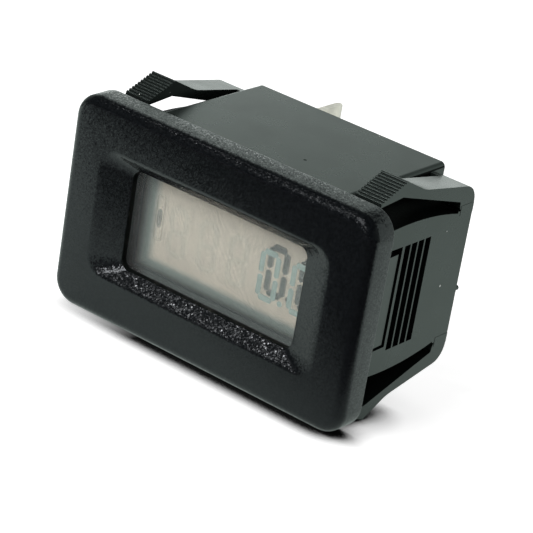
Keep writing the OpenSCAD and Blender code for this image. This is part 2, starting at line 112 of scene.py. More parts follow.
# From the opening's edge to the print on the back of the lens, and the print's soft edge
PRINT_MARGIN = 0.8 * MM
PRINT_EDGE = 0.05 * MM

# Digits that are lit, and unlit ones to their left
LIT_DIGITS = 2
UNLIT_DIGITS = 3
# Layers of the digits' soft shadows, and how much their strokes narrow through them
SHADOW_LAYERS = 3
SHADOW_TAPER = 0.8

# Scale along Y that draws plated metal's noise out to rolling lines
LINE_STRETCH = 0.012
# Range of the noise over which plated metal changes its tone
PLATE_TONES = (0.35, 0.65)

# Ranges of a direction's Y and Z over which the surroundings brighten to the rear and dim upwards
SKY_FRONT = (-0.35, 0.3)
SKY_TOP = (0.45, 0.68)
# Share of open surroundings at a point of the floor over which the part's shade fades
SHADE_RANGE = (0.5, 0.95)
# Place, width and height of each lamp
LAMPS = {
    "key": ((-0.06, -0.34, 0.28), 0.25, 0.25),
    "rim": ((-0.3, 0.5, 0.07), 0.5, 0.12),
    "top": ((-0.194, -0.044, 0.3), 0.03, 0.03),
}
# Clear layers that a ray may cross
CLEAR_LAYERS = 32
# Distance from which the camera sees
NEAREST = 10 * MM


def length(name, description, default):
    """A size property in metres."""
    return FloatProperty(name=name, description=description, default=default, unit="LENGTH", precision=5)


def colour(name, description, default):
    """A colour property."""
    return FloatVectorProperty(
        name=name, description=description, default=default, subtype="COLOR", min=0, max=1
    )


def place(name, description, default):
    """A point property in metres."""
    return FloatVectorProperty(name=name, description=description, default=default, subtype="TRANSLATION")


def share(name, description, default):
    """A number property from 0 to 1."""
    return FloatProperty(name=name, description=description, default=default, min=0, max=1)


def angle(name, description, degrees):
    """An angle property, given in degrees."""
    return FloatProperty(
        name=name, description=description, default=math.radians(degrees), subtype="ANGLE"
    )


def power(name, description, default):
    """A lamp's power property in watts."""
    return FloatProperty(name=name, description=description, default=default, min=0, unit="POWER")


class BezelSizes(bpy.types.PropertyGroup):
    """Sizes of the bezel moulding"""

    width: length("Width", "Width of the bezel", BEZEL_HIGH.x - BEZEL_LOW.x)
    height: length("Height", "Height of the bezel", BEZEL_HIGH.z - BEZEL_LOW.z)
    front: length("Front", "Place of the front face along Y", BEZEL_LOW.y)
    corner: length("Corner", "Radius of the corners seen from the front", 3.0 * MM)
    edge: length("Edge", "Radius of the rounded front edge", 1.2 * MM)
    rear_edge: length("Rear edge", "Radius of the rear edge", 0.2 * MM)
    recess_width: length("Recess width", "Width of the window recess at the front", 32.7 * MM)
    recess_height: length("Recess height", "Height of the window recess at the front", 15.0 * MM)
    recess_corner: length("Recess corner", "Corner radius of the recess at the front", 2.2 * MM)
    recess_depth: length("Recess depth", "Depth of the sloping sides", 1.35 * MM)
    opening_width: length("Opening width", "Width of the opening", 25.0 * MM)
    opening_height: length("Opening height", "Height of the opening", 12.2 * MM)
    opening_corner: length("Opening corner", "Corner radius of the opening", 1.2 * MM)
    lip: length("Lip", "How far the recess's lip is rounded off on the front", 0.7 * MM)
    lip_end: share("Lip end", "How far down the slope the rounded lip ends", 0.28)
    foot: length("Foot", "How far the foot of the slopes is rounded off", 0.08 * MM)
    foot_start: share("Foot start", "How far down the slope the rounded foot starts", 0.95)
    seat_gap: length("Seat gap", "Clearance round the lens in its pocket", 0.1 * MM)
    tab_height: length("Tab height", "Height of the snap tabs", 11.0 * MM)
    tab_thickness: length("Tab thickness", "Thickness of the tabs' arms", 1.25 * MM)
    tab_gap: length("Tab gap", "From the housing's end face to the tab's arm", 1.4 * MM)
    hook_front: length("Hook front", "From the panel seat to the hooks", 4.05 * MM)
    hook_reach: length("Hook reach", "Reach of the hooks from the arms", 1.35 * MM)
    hook_fall: length("Hook fall", "How far the hooks fall back to the rear", 0.1 * MM)
    corner_steps: IntProperty(name="Corner steps", description="Faces round each corner", default=10, min=4)
    edge_steps: IntProperty(name="Edge steps", description="Faces across each rounded edge", default=8, min=3)


class HousingSizes(bpy.types.PropertyGroup):
    """Sizes that tell the housing's outside from its hollows"""

    block_width: length("Block width", "Width of the tall middle block", 27.3 * MM)
    rear: length("Rear", "Place of the rear face along Y", 19.9 * MM)
    wall: length("Wall", "Thickness of the walls", 1.3 * MM)
    face_depth: length("Face depth", "Depth within which a face counts as outside", 0.05 * MM)
    root_depth: length("Root depth", "Depth of the legs' roots from the rear", 3.5 * MM)
    skin: length("Skin", "Thickness of the skin over a leg's root", 0.02 * MM)
    skin_depth: length("Skin depth", "Depth of that skin from the rear face", 2.45 * MM)
    skin_height: length("Skin height", "Height of that skin", 1.2 * MM)
    skin_place: length("Skin place", "Height of that skin's middle", 8.2 * MM)


class DisplaySizes(bpy.types.PropertyGroup):
    """Sizes of the marks on the display"""

    digit_width: length("Digit width", "Width of a digit", 2.85 * MM)
    digit_height: length("Digit height", "Height of a digit", 6.2 * MM)
    digit_pitch: length("Digit pitch", "From one digit to the next", 4.42 * MM)
    stroke: length("Stroke", "Width of a segment", 0.7 * MM)
    soft_stroke: length("Soft stroke", "Width over which a shadow of a segment fades", 0.88 * MM)
    gap: length("Gap", "Gap between segments", 0.1 * MM)
    first_lit: length("First lit digit", "Place of the first lit digit along X", 6.17 * MM)
    middle: length("Middle", "Height of the digits' middle", -0.25 * MM)
    point_drop: length("Point drop", "Decimal point below the digits' middle", 2.6 * MM)
    point_side: length("Point side", "Decimal point right of the first lit digit's middle", 2.08 * MM)
    shadow_shift: length("Shadow shift", "Sideways shift of the shadows", 0.69 * MM)
    shadow_lift: length("Shadow lift", "Upward shift of the shadows", 0.6 * MM)
    sign_place: place("Sign", "Middle of the hourglass sign", (-9.95 * MM, 0, 0.5 * MM))
    sign_width: length("Sign width", "Width of the hourglass sign", 1.3 * MM)
    sign_height: length("Sign height", "Height of the hourglass sign", 5.4 * MM)
    sign_line: length("Sign line", "Width of the sign's thin outline", 0.16 * MM)
    waist_width: length("Waist width", "Width of the dark waist of the sign", 0.75 * MM)
    waist_height: length("Waist height", "Height of the dark waist of the sign", 2.3 * MM)
    mark_thickness: length("Mark thickness", "Thickness of the marks", 0.03 * MM)


class Finishes(bpy.types.PropertyGroup):
    """Colours and gloss of the finishes, and the cover of clear ones and inks"""

    bezel: colour("Bezel", "Textured black of the bezel", (0.0026, 0.0031, 0.0036))
    bezel_sheen: colour("Bezel sheen", "Tint of the bezel's reflections", (0.93, 0.97, 1.0))
    bezel_gloss: share("Bezel gloss", "Gloss of the bezel", 0.38)
    rubbed_gloss: share("Rubbed gloss", "Gloss of the bezel's upper front edge", 0.09)
    housing: colour("Housing", "Satin black of the housing and legs", (0.0058, 0.0078, 0.0071))
    housing_sheen: colour("Housing sheen", "Tint of the housing's reflections", (0.84, 1.0, 0.93))
    dust: colour("Dust", "White dust specks", (0.75, 0.75, 0.73))
    lens: colour("Lens", "Tint of the window lens", (0.9, 0.93, 0.92))
    lens_cover: share("Lens cover", "How far the lens covers", 0.025)
    lens_print: colour("Lens print", "Dark border printed on the back of the lens", (0.01, 0.012, 0.011))
    glass: colour("Glass", "Tint of the display's glass", (0.8, 0.88, 0.84))
    glass_cover: share("Glass cover", "How far the glass covers", 0.02)
    film: colour("Film", "Cream of the display's film", (0.93, 0.86, 0.71))
    # The film's grey-green edge colour is painted shade: the shadow of the bezel's opening on the film
    film_edge: colour("Film edge", "Grey-green of the film's border", (0.32, 0.40, 0.36))
    film_rim: colour("Film rim", "Dark rim round the film", (0.042, 0.068, 0.063))
    lit: colour("Lit segments", "Teal of the segments", (0.25, 0.33, 0.30))
    lit_cover: share("Lit cover", "How far the lit segments cover", 0.7)
    unlit_cover: share("Unlit cover", "How far the unlit segments cover", 0.045)
    shadow: colour("Segment shadows", "Dark of the segments' shadows and of the sign", (0.10, 0.125, 0.12))
    shadow_cover: share("Shadow cover", "How far each layer of the shadows covers", 0.31)
    sign_cover: share("Sign cover", "How far the sign's outline covers", 0.12)
    waist_cover: share("Waist cover", "How far the sign's waist covers", 0.38)
    blade: colour("Blades", "Tinned brass of the blades", (0.93, 0.83, 0.76))
    floor: colour("Floor", "Pale floor", (0.86, 0.86, 0.86))
    floor_shade: colour("Floor shade", "Floor where the part meets it", (0.01, 0.01, 0.01))
    mirrored: colour("Mirrored", "Tint of the surroundings in reflections", (0.70, 0.80, 0.755))


class StageSettings(bpy.types.PropertyGroup):
    """Camera, floor and lights"""

    camera: place("Camera", "Place of the camera", (0.14631, -0.20112, 0.10841))
    camera_turn: FloatVectorProperty(
        name="Camera turn",
        description="Turn of the camera",
        default=(math.radians(66.003), math.radians(-8.843), math.radians(38.872)),
        subtype="EULER",
    )
    lens: FloatProperty(name="Lens", description="Focal length in millimetres", default=164.8, unit="CAMERA")
    floor_size: length("Floor size", "Length of the floor's sides", 6.0)
    floor_tilt: angle("Floor tilt", "Turn of the floor about X", -10.1)
    touch: length("Touch", "From the front of a lower leg to where it touches the floor", 4.3 * MM)
    floor_gap: length("Floor gap", "Clearance between that leg and the floor", 0.05 * MM)
    sky: share("Sky", "Strength of the surroundings as light", 0.62)
    front_glow: share("Front glow", "Share of the surroundings that shows in front", 0.022)
    top_glow: share("Top glow", "Share of the surroundings that reflections show above", 0.05)
    floor_glow: share("Floor glow", "Light added to the floor where it is seen", 0.64)
    mirror_glow: share("Mirror glow", "Share of that light that reflections show", 0.78)
    contact: length("Contact", "Reach of the shade where the part meets the floor", 4 * MM)
    shade_start: length("Shade start", "Where that shade starts along X", -24 * MM)
    shade_full: length("Shade full", "Where that shade has its full depth", -8 * MM)
    dim_side: angle("Dim side", "Turn that brings the floor's dim side in reflections to +X", 66)
    dim_start: length("Dim start", "Where the floor starts to dim in reflections", 12 * MM)
    dim_end: length("Dim end", "Where the floor is dimmest in reflections", 28 * MM)
    key: power("Key", "Power of the broad lamp in front", 2.1)
    rim: power("Rim", "Power of the low strip behind", 0.16)
    top: power("Top", "Power of the small lamp above", 0.06)


# Working in edit mode


def start_piece(name, mesh=None):
    """A new object, empty unless given a mesh, the only one selected and in edit mode."""
    piece = bpy.data.objects.new(name, mesh or bpy.data.meshes.new(name))
    bpy.context.scene.collection.objects.link(piece)
    bpy.ops.object.select_all(action="DESELECT")
    piece.select_set(True)
    bpy.context.view_layer.objects.active = piece
    bpy.ops.object.mode_set(mode="EDIT")
    bpy.ops.mesh.select_mode(type="VERT")
    return piece


def copy_node(name, piece_name):
    """A piece that starts as a copy of a frame node's mesh, its triangles merged."""
    piece = start_piece(piece_name, NODES[name].data.copy())
    bpy.ops.mesh.select_all(action="SELECT")
    bpy.ops.mesh.remove_doubles(threshold=WELD)
    return piece


def dress(piece, *materials):
    """Gives a piece its finishes, the first one all over."""
    piece.data.materials.clear()
    for material in materials:
        piece.data.materials.append(material)


def paint(piece, number, test):
    """Gives the faces of the open piece that pass a test the finish with a number."""
    pick(piece, "faces", test)
    piece.active_material_index = number
    bpy.ops.object.material_slot_assign()


def close_piece(piece, body):
    """Leaves edit mode, shades the piece and makes it ride on its body."""
    bpy.ops.object.mode_set(mode="OBJECT")
    bpy.ops.mesh.customdata_custom_splitnormals_clear()
    bpy.ops.object.shade_smooth_by_angle(angle=SMOOTH_ANGLE)
    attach(piece, body)


def pick(piece, kind, test):
    """Selects the vertices or faces of the open piece that pass a test."""
    bpy.ops.mesh.select_all(action="DESELECT")
    bpy.ops.mesh.select_mode(type={"verts": "VERT", "faces": "FACE"}[kind])
    shape = bmesh.from_edit_mesh(piece.data)
    shape.verts.index_update()
    for element in getattr(shape, kind):
        if test(element):
            element.select_set(True)
    shape.select_flush_mode()
    bmesh.update_edit_mesh(piece.data)


def face_outwards():
    """Turns all faces of the open piece outwards and leaves them selected."""
    bpy.ops.mesh.select_all(action="SELECT")
    bpy.ops.mesh.normals_make_consistent(inside=False)


def vertex_count(piece):
    """Number of vertices of the open piece."""
    return len(bmesh.from_edit_mesh(piece.data).verts)


def add_block(size, middle):
    """A block in the open piece."""
    bpy.ops.mesh.primitive_cube_add(size=1, location=middle)
    bpy.ops.transform.resize(value=size, center_override=middle)


def add_plate(width, height, middle):
    """A flat rectangle in the open piece that faces along Y."""
    bpy.ops.mesh.primitive_plane_add(size=1, location=middle, rotation=(math.pi / 2, 0, 0))
    bpy.ops.transform.resize(value=(width, 1, height), center_override=middle)


def add_disc(corners, radius, middle):
    """A flat polygon in the open piece that faces along Y."""
    bpy.ops.mesh.primitive_circle_add(
        vertices=corners, radius=radius, fill_type="NGON", location=middle, rotation=(math.pi / 2, 0, 0)
    )


def add_ring(piece, ring, steps):
    """A rounded rectangle facing along Y, left as a loop of edges. Returns its vertices' numbers."""
    width, height, corner, depth = ring
    first = vertex_count(piece)
    add_plate(width, height, (0, depth, 0))
    bpy.ops.mesh.bevel(offset=corner, segments=steps, affect="VERTICES")
    bpy.ops.mesh.delete(type="ONLY_FACE")
    return range(first, vertex_count(piece))


def join_rings(piece, first, second):
    """Bridges two loops of edges."""
    members = set(first) | set(second)
    pick(piece, "verts", lambda v: v.index in members)
    bpy.ops.mesh.bridge_edge_loops()


def mixed(first, second, t):
    """The ring a share t of the way from first to second."""
    return [a + (b - a) * t for a, b in zip(first, second)]


def rounded_step(start, corner, end, steps):
    """Rings of a soft edge that leaves start towards corner and arrives at end."""
    shares = [i / steps for i in range(steps + 1)]
    return [mixed(mixed(start, corner, t), mixed(corner, end, t), t) for t in shares]


# Node helpers for the finishes


def finish(name):
    """A new material with its tree and its main shader."""
    material = bpy.data.materials.new(name)
    material.use_nodes = True
    tree = material.node_tree
    return material, tree, tree.nodes["Principled BSDF"]


def fill(made, **inputs):
    """Sets or links a node's inputs, each by its name with _ for a space, or by i and its number."""
    for key, value in inputs.items():
        socket = made.inputs[int(key[1:]) if key[1:].isdigit() else key.replace("_", " ")]
        if isinstance(value, bpy.types.NodeSocket):
            made.id_data.links.new(value, socket)
        else:
            socket.default_value = value


def node(tree, kind, settings=None, **inputs):
    """A new shader node with its settings and inputs."""
    made = tree.nodes.new("ShaderNode" + kind)
    for key, value in (settings or {}).items():
        setattr(made, key, value)
    fill(made, **inputs)
    return made


def object_place(tree):
    """The socket of the object coordinates."""
    return node(tree, "TexCoord").outputs["Object"]


def part_of(tree, vector, axis):
    """One component of a vector socket."""
    return node(tree, "SeparateXYZ", i0=vector).outputs[axis]


def noise(tree, scale, detail=2.0, roughness=0.5, where=None):
    """A noise pattern with scale in waves to the metre, on object coordinates unless told where."""
    vector = where or object_place(tree)
    made = node(tree, "TexNoise", Scale=scale, Detail=detail, Roughness=roughness, Vector=vector)
    return made.outputs["Fac"]


def cells(tree, scale, output):
    """An output of a pattern of cells on object coordinates, with scale in cells to the metre."""
    return node(tree, "TexVoronoi", Scale=scale, Vector=object_place(tree)).outputs[output]


def ramp(tree, factor, span, result=(0.0, 1.0)):
    """Maps a factor from the two ends of a span to the two ends of a result, clamped."""
    ends = dict(zip(("From Min", "From Max", "To Min", "To Max"), (*span, *result)))
    return node(tree, "MapRange", Value=factor, **ends).outputs["Result"]


def spread(tree, pattern, low=0.0, high=1.0):
    """Maps a noise pattern to a range of values."""
    return ramp(tree, pattern, NOISE_RANGE, (low, high))


def math_node(tree, operation, first, second):
    """The result of an operation on two values or sockets."""
    return node(tree, "Math", {"operation": operation}, i0=first, i1=second).outputs["Value"]


def vector_node(tree, operation, first, second=(0, 0, 0), output="Vector"):
    """The result of an operation on two vectors or sockets."""
    return node(tree, "VectorMath", {"operation": operation}, i0=first, i1=second).outputs[output]


def mix_colours(tree, factor, first, second):
    """A colour between two, by a factor socket. Sockets 6 and 7 of the node are its colours."""
    pair = [c if isinstance(c, bpy.types.NodeSocket) else (*c, 1) for c in (first, second)]
    made = node(tree, "Mix", {"data_type": "RGBA"}, Factor=factor, i6=pair[0], i7=pair[1])
    return made.outputs[2]


def scaled(tint, factor):
    """A colour made darker or lighter."""
    return tuple(c * factor for c in tint)


def tone(tree, shader, factor, first, second):
    """Colours a shader between two colours, by a factor socket."""
    fill(shader, Base_Color=mix_colours(tree, factor, first, second))


def roughen(tree, shader, pattern, smooth, rough):
    """Lets a shader's roughness follow a noise pattern."""
    fill(shader, Roughness=spread(tree, pattern, smooth, rough))


def bump(tree, shader, height, strength, distance):
    """Gives a shader a bump from a height socket."""
    made = node(tree, "Bump", Strength=strength, Distance=distance, Height=height)
    fill(shader, Normal=made.outputs["Normal"])


# Finishes


def grained(name, colours, gloss):
    """Black moulding with a fine spark-eroded grain, whose leaning grains glint."""
    material, tree, shader = finish(name)
    grain = noise(tree, scale=4000, roughness=0.6)
    grains = cells(tree, GRAIN_SCALE, "Color")
    lot = part_of(tree, grains, "Z")
    surface = node(tree, "NewGeometry").outputs["Normal"]
    upward = ramp(tree, part_of(tree, surface, "Z"), (0.0, FACES_UP))

    lean = vector_node(tree, "SUBTRACT", grains, (0.5, 0.5, 0.5))
    lean = vector_node(tree, "MULTIPLY", lean, ramp(tree, upward, (0.0, 1.0), (GRAIN_LEAN, UPPER_LEAN)))
    rise = ramp(tree, lot, (1 - RISING_SHARE, 1.0), (0.0, GRAIN_RISE))
    rise = node(tree, "CombineXYZ", Z=math_node(tree, "MULTIPLY", upward, rise)).outputs["Vector"]
    facet = vector_node(tree, "ADD", vector_node(tree, "ADD", lean, rise), surface)
    fill(shader, Normal=vector_node(tree, "NORMALIZE", facet))

    base = tuple(colours.bezel)
    tone(tree, shader, ramp(tree, grain, GRAIN_TONES), base, scaled(base, 2.2))
    risen = ramp(tree, lot, (1 - RISING_SHARE - SHARE_EDGE, 1 - RISING_SHARE))
    risen = math_node(tree, "MULTIPLY", upward, risen)
    polish = ramp(tree, risen, (0.0, 1.0), (1.0, RISING_ROUGHNESS))
    rough = math_node(tree, "MULTIPLY", spread(tree, grain, 0.17, 0.27), polish)
    fill(shader, Roughness=rough, Specular_IOR_Level=gloss, Specular_Tint=(*colours.bezel_sheen, 1))
    return material


def textured_black(colours):
    """The bezel's grained moulding."""
    return grained("textured_black", colours, colours.bezel_gloss)


def rubbed_black(colours):
    """The same moulding rubbed dull, as along its upper front edge."""
    return grained("rubbed_black", colours, colours.rubbed_gloss)


def speck(tree, point, radius):
    """A factor that is 1 near a point and fades to 0 at a radius."""
    away = vector_node(tree, "DISTANCE", object_place(tree), point, "Value")
    return ramp(tree, away, (SPECK_FADE * radius, radius), (1.0, 0.0))


def satin_black(colours):
    """Smooth black moulding with a satin sheen, faint flow marks and a little dust."""
    material, tree, shader = finish("satin_black")
    flow = noise(tree, scale=160, detail=4.0)
    base = tuple(colours.housing)
    flowing = mix_colours(tree, spread(tree, flow), base, scaled(base, 1.25))
    dusty = ramp(tree, cells(tree, DUST_SCALE, "Distance"), DUST_FADE, (1.0, 0.0))
    dusty = math_node(tree, "MAXIMUM", dusty, speck(tree, *DUST_SPECK))
    tone(tree, shader, dusty, flowing, tuple(colours.dust))
    rough = math_node(tree, "ADD", spread(tree, flow, 0.24, 0.34), speck(tree, *DULL_SPECK))
    fill(shader, Roughness=rough, Specular_Tint=(*colours.housing_sheen, 1))
    bump(tree, shader, noise(tree, scale=2600), strength=0.08, distance=0.02 * MM)
    return material


def dull_black(colours):
    """Black of the grooves, slots and other hollows of the moulding, made darker and duller as painted shade.
    """
    material, tree, shader = finish("dull_black")
    grain = noise(tree, scale=2600)
    base = scaled(colours.housing, 0.4)
    tone(tree, shader, spread(tree, grain), base, scaled(base, 1.6))
    roughen(tree, shader, grain, smooth=0.55, rough=0.7)
    fill(shader, Specular_IOR_Level=0.08)
    return material


def shared(make, colours):
    """The finish that a function makes, made once."""
    return bpy.data.materials.get(make.__name__) or make(colours)


def clear_sheet(name, tint, cover):
    """A clear plate that is seen through."""
    material, tree, shader = finish(name)
    fill(shader, Base_Color=(*tint, 1), Alpha=cover)
    roughen(tree, shader, noise(tree, scale=900, detail=3.0), smooth=0.04, rough=0.1)
    return material


def printed_lens(colours, bezel):
    """Clear lens with a dark border printed on its back, round the bezel's opening."""
    material = clear_sheet("clear_lens", colours.lens, colours.lens_cover)
    tree = material.node_tree
    shader = tree.nodes["Principled BSDF"]
    spot = object_place(tree)
    sides = []
    for axis, size in (("X", bezel.opening_width), ("Z", bezel.opening_height)):
        start = size / 2 + PRINT_MARGIN
        away = math_node(tree, "ABSOLUTE", part_of(tree, spot, axis), 0.0)
        sides.append(ramp(tree, away, (start, start + PRINT_EDGE)))
    back = ramp(tree, part_of(tree, spot, "Y"), (LENS_HIGH.y - 2 * PRINT_EDGE, LENS_HIGH.y - PRINT_EDGE))
    printed = math_node(tree, "MULTIPLY", math_node(tree, "MAXIMUM", *sides), back)
    tone(tree, shader, printed, tuple(colours.lens), tuple(colours.lens_print))
    fill(shader, Alpha=ramp(tree, printed, (0.0, 1.0), (colours.lens_cover, 1.0)))
    return material


def cream_film(colours):
    """Display film: cream, with a painted grey-green shadow of the bezel's opening that darkens in steps to
    its left and lower edges.
    """
    material, tree, shader = finish("cream_film")
    spot = object_place(tree)
    # The grey-green steps are painted shade, the shadow of the bezel's opening along the film's left and
    # lower sides
    left = ramp(tree, part_of(tree, spot, "X"), (FILM_LOW.x, FILM_LOW.x + LEFT_SHADE))
    low = ramp(tree, part_of(tree, spot, "Z"), (FILM_LOW.z, FILM_LOW.z + LOWER_SHADE))
    inward = node(tree, "Math", {"operation": "SMOOTH_MIN"}, i0=left, i1=low, i2=SHADE_BLEND)
    rim = tuple(colours.film_rim)
    stops = [(0.0, rim), (RIM_END, rim)]
    stops += [(start, scaled(colours.film_edge, strength)) for start, strength in SHADE_TONES]
    stops.append((1.0, tuple(colours.film)))
    steps = node(tree, "ValToRGB", Fac=inward.outputs["Value"])
    elements = steps.color_ramp.elements
    for start, _ in stops[1:-1]:
        elements.new(start)
    for element, (start, tint) in zip(elements, stops):
        element.position = start
        element.color = (*tint, 1)
    patches = spread(tree, noise(tree, scale=260, detail=3.0), 0.95, 1.0)
    patchy = vector_node(tree, "MULTIPLY", steps.outputs["Color"], patches)
    fill(shader, Base_Color=patchy, Roughness=0.7, Specular_IOR_Level=0.2)
    return material


def segment_ink(name, tint, cover):
    """Ink of the display's marks and of the segments' painted shadows, slightly uneven."""
    material, tree, shader = finish(name)
    tone(tree, shader, spread(tree, noise(tree, scale=1400)), scaled(tint, 0.85), tuple(tint))
    fill(shader, Alpha=cover, Roughness=0.6, Specular_IOR_Level=0.0)
    return material


def plated_metal(name, tint, roughness):
    """Plated sheet metal with rolling lines along Y."""
    material, tree, shader = finish(name)
    stretch = node(tree, "Mapping", Vector=object_place(tree), Scale=(1, LINE_STRETCH, 1))
    lines = noise(tree, scale=9000, detail=3.0, where=stretch.outputs["Vector"])
    cloud = noise(tree, scale=420, detail=4.0)
    tone(tree, shader, ramp(tree, cloud, PLATE_TONES), scaled(tint, 0.72), tuple(tint))
    roughen(tree, shader, lines, smooth=roughness - 0.03, rough=roughness + 0.05)
    fill(shader, Metallic=1.0)
    bump(tree, shader, lines, strength=0.04, distance=0.02 * MM)
    return material


def moulded(name, tint, roughness, grain_scale, gloss):
    """A plain moulded or coated surface with an even grain."""
    material, tree, shader = finish(name)
    grain = noise(tree, grain_scale, detail=3.0)
    tone(tree, shader, spread(tree, grain), scaled(tint, 0.8), tint)
    roughen(tree, shader, grain, smooth=roughness - 0.05, rough=roughness + 0.08)
    fill(shader, Specular_IOR_Level=gloss)
    bump(tree, shader, grain, strength=0.15, distance=0.03 * MM)
    return material


def coat(material, *names):
    """Gives frame nodes a finish."""
    for name in names:
        mesh = NODES[name].data
        mesh.materials.clear()
        mesh.materials.append(material)


# Pieces


class BuildBezel(bpy.types.Operator):
    """Models the bezel as one moulding: rounded plate, sloping recess, lens pocket and snap tabs"""

    bl_idname = "hour_meter.bezel"
    bl_label = "Bezel"

    def execute(self, context):
        sizes = context.scene.meter_bezel
        colours = context.scene.meter_finishes
        finishes = (textured_black, satin_black, dull_black, rubbed_black)
        piece = start_piece("bezel_moulding")
        dress(piece, *(shared(make, colours) for make in finishes))
        rings = self.rings(sizes)
        numbers = []
        for i, ring in enumerate(rings):
            numbers.append(add_ring(piece, [*ring[:3], i * RING_SPACING], sizes.corner_steps))
        for first, second in zip(numbers, numbers[1:] + numbers[:1]):
            join_rings(piece, first, second)
        for i, ring in enumerate(rings):
            pick(piece, "verts", lambda v: v.index in numbers[i])
            bpy.ops.transform.translate(value=(0, ring[3] - i * RING_SPACING, 0))
        face_outwards()
        for side in (1, -1):
            self.add_tab(piece, sizes, side)
        paint(piece, finishes.index(satin_black), lambda f: f.calc_center_median().y > sizes.rear_edge)
        # The opening's wall gets painted shade: the darker, duller black of the hollows
        paint(piece, finishes.index(dull_black), lambda f: self.is_opening(f, sizes))
        paint(piece, finishes.index(rubbed_black), lambda f: self.is_upper_edge(f, sizes))
        close_piece(piece, "meter")
        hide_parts("front_bezel")
        return {"FINISHED"}

    def rings(self, sizes):
        """Rings from the lens pocket round the outside to the recess and its opening."""
        front = sizes.front
        pocket = [LENS_HIGH.x - LENS_LOW.x, LENS_HIGH.z - LENS_LOW.z]
        pocket = [size + 2 * sizes.seat_gap for size in pocket]
        rings = [
            [*pocket, sizes.rear_edge, LENS_LOW.y],
            [*pocket, sizes.rear_edge, 0],
        ]
        turns = [math.radians(90) * i / sizes.edge_steps for i in range(sizes.edge_steps + 1)]
        for turn in reversed(turns):
            rings.append(self.edge_ring(sizes, sizes.rear_edge, turn, -sizes.rear_edge, 1))
        for turn in turns:
            rings.append(self.edge_ring(sizes, sizes.edge, turn, front + sizes.edge, -1))
        recess = [sizes.recess_width, sizes.recess_height, sizes.recess_corner, front]
        foot = [sizes.opening_width, sizes.opening_height, sizes.opening_corner, front + sizes.recess_depth]
        outside = [recess[0] + sizes.lip, recess[1] + sizes.lip, recess[2] + sizes.lip / 2, front]
        below = [*foot[:3], foot[3] + sizes.foot]
        rings += rounded_step(outside, recess, mixed(recess, foot, sizes.lip_end), sizes.edge_steps)
        rings += rounded_step(mixed(recess, foot, sizes.foot_start), foot, below, sizes.edge_steps // 2)
        rings.append([*foot[:3], LENS_LOW.y])
        return rings

    def edge_ring(self, sizes, radius, turn, depth, way):
        """A ring of a rounded outer edge, which starts at a depth and turns one way along Y."""
        inset = radius * (1 - math.cos(turn))
        return [
            sizes.width - 2 * inset,
            sizes.height - 2 * inset,
            sizes.corner - inset,
            depth + way * radius * math.sin(turn),
        ]

    def is_opening(self, face, sizes):
        """Whether a face lies on the straight wall of the opening."""
        x, y, z = face.calc_center_median()
        outside = max(abs(x) - sizes.opening_width / 2, abs(z) - sizes.opening_height / 2)
        return outside < sizes.foot and y > sizes.front + sizes.recess_depth

    def is_upper_edge(self, face, sizes):
        """Whether a face lies on the rounded front edge along the top, short of the top face."""
        _, y, z = face.calc_center_median()
        rounded = y < sizes.front + sizes.edge and RUBBED_EDGE[0] < face.normal.z < RUBBED_EDGE[1]
        return rounded and z > sizes.height / 2 - sizes.corner

    def add_tab(self, piece, sizes, side):
        """A tab behind one end of the plate, with a hook that fills the housing's window."""
        first = vertex_count(piece)
        outer = HOUSING_HIGH.x - sizes.tab_gap
        root = -2 * sizes.rear_edge
        rear = BEZEL_HIGH.y
        middle = (side * (outer - sizes.tab_thickness / 2), (root + rear) / 2, 0)
        add_block((sizes.tab_thickness, rear - root, sizes.tab_height), middle)
        bpy.ops.mesh.bisect(plane_co=(0, sizes.hook_front, 0), plane_no=(0, 1, 0))
        pick(
            piece,
            "faces",
            lambda f: f.verts[0].index >= first
            and f.normal.x * side > FACING
            and f.calc_center_median().y > sizes.hook_front,
        )
        bpy.ops.mesh.extrude_region_move(
            TRANSFORM_OT_translate={"value": (side * sizes.hook_reach, 0, 0)}
        )
        limit = outer + sizes.hook_reach / 2
        pick(
            piece,
            "verts",
            lambda v: v.index >= first and v.co.x * side > limit and v.co.y > rear - ON_PLANE,
        )
        bpy.ops.transform.translate(value=(-side * sizes.hook_fall, 0, 0))


class BuildHousing(bpy.types.Operator):
    """Models the housing on its node's shape: satin outside, hollows darkened as painted shade, and skins
    over the legs' roots
    """

    bl_idname = "hour_meter.housing"
    bl_label = "Housing"

    def execute(self, context):
        sizes = context.scene.meter_housing
        colours = context.scene.meter_finishes
        finishes = (satin_black, dull_black)
        piece = copy_node("housing", "housing_moulding")
        dress(piece, *(shared(make, colours) for make in finishes))
        # Grooves, windows, slots and the inside get painted shade: a darker, duller black
        paint(piece, finishes.index(dull_black), lambda f: self.is_hollow(f, sizes))
        for side in (1, -1):
            for up in (1, -1):
                self.add_root_skin(sizes, side, up)
        close_piece(piece, "meter")
        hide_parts("housing")
        return {"FINISHED"}

    def is_hollow(self, face, sizes):
        """Whether a face lies in a groove, a window or a leg's slot, or on the inside."""
        centre = face.calc_center_median()
        across, up = abs(centre.x), abs(centre.z)
        if across > HOUSING_HIGH.x - sizes.face_depth:
            return False
        if across > sizes.block_width / 2 - sizes.face_depth:
            return centre.y < HOUSING_HIGH.y - sizes.root_depth
        return up < HOUSING_HIGH.z - sizes.wall and centre.y < sizes.rear - sizes.face_depth

    def add_root_skin(self, sizes, side, up):
        """A thin skin on the end face over the seam where a leg joins the housing."""
        middle = (
            side * (HOUSING_HIGH.x + sizes.skin),
            sizes.rear - sizes.skin_depth / 2,
            up * sizes.skin_place,
        )
        add_block((sizes.skin, sizes.skin_depth, sizes.skin_height), middle)


class BuildLegs(bpy.types.Operator):
    """Finishes the four sprung legs"""

    bl_idname = "hour_meter.legs"
    bl_label = "Snap Legs"

    def execute(self, context):
        legs = [name for name in NODES if name.startswith("snap_leg")]
        coat(shared(satin_black, context.scene.meter_finishes), *legs)
        return {"FINISHED"}


